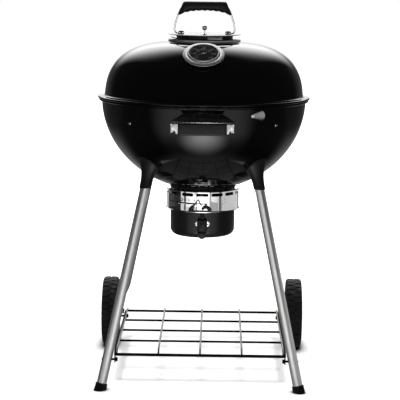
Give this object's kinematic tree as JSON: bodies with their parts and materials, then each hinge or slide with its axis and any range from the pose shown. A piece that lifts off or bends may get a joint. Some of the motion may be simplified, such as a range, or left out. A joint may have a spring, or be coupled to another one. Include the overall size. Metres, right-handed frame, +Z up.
{
  "type": "kettle charcoal grill",
  "caption": "Round kettle charcoal grill with lift-off lid, lid vent and thermometer, ash pot, legs, wire shelf and wheels.",
  "frame": {"origin": "on the floor below the middle of the box round the grill, which is 0.1 mm or less from the bowl's vertical axis", "axes": "+Z up, -Y towards the front with the handle and the thermometer, +X to the right seen from the front"},
  "size_m": [0.5874, 0.6886, 1.0215],
  "materials": {
    "black_enamel": "glossy porcelain enamel",
    "satin_black": "satin powder coat",
    "bright_steel": "polished",
    "brushed_steel": "brushed",
    "grate_wire": "plated wire",
    "shield_aluminium": "satin",
    "black_nylon": "fine moulded texture",
    "tyre_black": "moulded tread",
    "dial_face": "matt print",
    "dial_glass": "clear"
  },
  "bodies": {
    "base": {"bowl_shell": "black_enamel", "grate_clip_front_right": "bright_steel", "grate_clip_rear_right": "bright_steel", "grate_clip_rear_left": "bright_steel", "grate_clip_front_left": "bright_steel", "bowl_handle_grip": "black_nylon", "bowl_handle_hood": "black_nylon", "bowl_handle_bracket_right": "brushed_steel", "bowl_handle_bracket_left": "brushed_steel", "probe_screw": "bright_steel", "band_collar": "black_enamel", "air_band": "bright_steel", "leg_socket_front_right": "black_nylon", "leg_socket_front_left": "black_nylon", "leg_socket_rear_right": "black_nylon", "leg_socket_rear_left": "black_nylon", "leg_tube_front_right": "brushed_steel", "leg_tube_front_left": "brushed_steel", "leg_tube_rear_right": "brushed_steel", "leg_tube_rear_left": "brushed_steel", "foot_cap_front_right": "black_nylon", "foot_cap_front_left": "black_nylon", "axle_bolt_right": "brushed_steel", "axle_bolt_left": "brushed_steel", "hub_cap_right": "black_nylon", "hub_cap_left": "black_nylon", "bottom_shelf": "black_enamel", "shelf_bolt_front_right": "satin_black", "shelf_bolt_front_left": "satin_black", "shelf_bolt_rear_right": "satin_black", "shelf_bolt_rear_left": "satin_black"},
    "lid": {"lid_shell": "black_enamel", "vent_base_plate": "shield_aluminium", "vent_drum": "satin_black", "heat_shield": "shield_aluminium", "shield_knob": "bright_steel", "handle_bail": "bright_steel", "handle_grip": "black_nylon", "bail_bolt_left": "satin_black", "bail_bolt_right": "satin_black", "thermometer_case": "brushed_steel", "thermometer_bezel": "brushed_steel", "thermometer_dial": "dial_face", "thermometer_glass": "dial_glass", "thermometer_nut": "brushed_steel"},
    "lid_damper": {"vent_damper": "satin_black"},
    "dial_needle": {"thermometer_needle": "bright_steel"},
    "probe_flap": {"probe_cover": "bright_steel"},
    "cooking_grid": {"cooking_grate": "grate_wire"},
    "charcoal_grid": {"charcoal_grate": "grate_wire"},
    "vent_control": {"vent_vanes": "brushed_steel", "control_lever": "black_nylon"},
    "ash_container": {"ash_pot": "satin_black", "ash_pot_handle": "black_nylon", "ash_pot_latch_plate": "bright_steel"},
    "wheel_right": {"tyre_right": "tyre_black", "wheel_centre_right": "black_nylon"},
    "wheel_left": {"tyre_left": "tyre_black", "wheel_centre_left": "black_nylon"}
  },
  "joints": [
    {"name": "lid_lift", "type": "slide", "parent": "base", "child": "lid", "axis": [0, 0, 1], "range_m": [0, 0.35]},
    {"name": "lid_damper_turn", "type": "hinge", "parent": "lid", "child": "lid_damper", "pos_m": [0, 0, 0.9245], "axis": [0, 0, 1], "range_deg": [-27, 33]},
    {"name": "dial_needle_turn", "type": "hinge", "parent": "lid", "child": "dial_needle", "pos_m": [0, -0.209, 0.88598], "axis": [0, -0.5096, 0.8604], "range_deg": [-236, 0]},
    {"name": "probe_cover_swing", "type": "hinge", "parent": "base", "child": "probe_flap", "pos_m": [0.12967, -0.25016, 0.7335], "axis": [0.4939, -0.8695, 0], "range_deg": [-110, 0]},
    {"name": "cooking_grate_lift", "type": "slide", "parent": "base", "child": "cooking_grid", "axis": [0, 0, 1], "range_m": [0, 0.04]},
    {"name": "charcoal_grate_lift", "type": "slide", "parent": "base", "child": "charcoal_grid", "axis": [0, 0, 1], "range_m": [0, 0.08]},
    {"name": "vent_control_turn", "type": "hinge", "parent": "base", "child": "vent_control", "pos_m": [0, 0, 0.49], "axis": [0, 0, 1], "range_deg": [-50, 8]},
    {"name": "ash_pot_drop", "type": "slide", "parent": "base", "child": "ash_container", "axis": [0, 0, -1], "range_m": [0, 0.12]},
    {"name": "wheel_right_spin", "type": "hinge", "parent": "base", "child": "wheel_right", "pos_m": [0.2705, 0.2427, 0.1016], "axis": [1, 0, 0], "continuous": true},
    {"name": "wheel_left_spin", "type": "hinge", "parent": "base", "child": "wheel_left", "pos_m": [-0.2705, 0.2427, 0.1016], "axis": [1, 0, 0], "continuous": true}
  ]
}
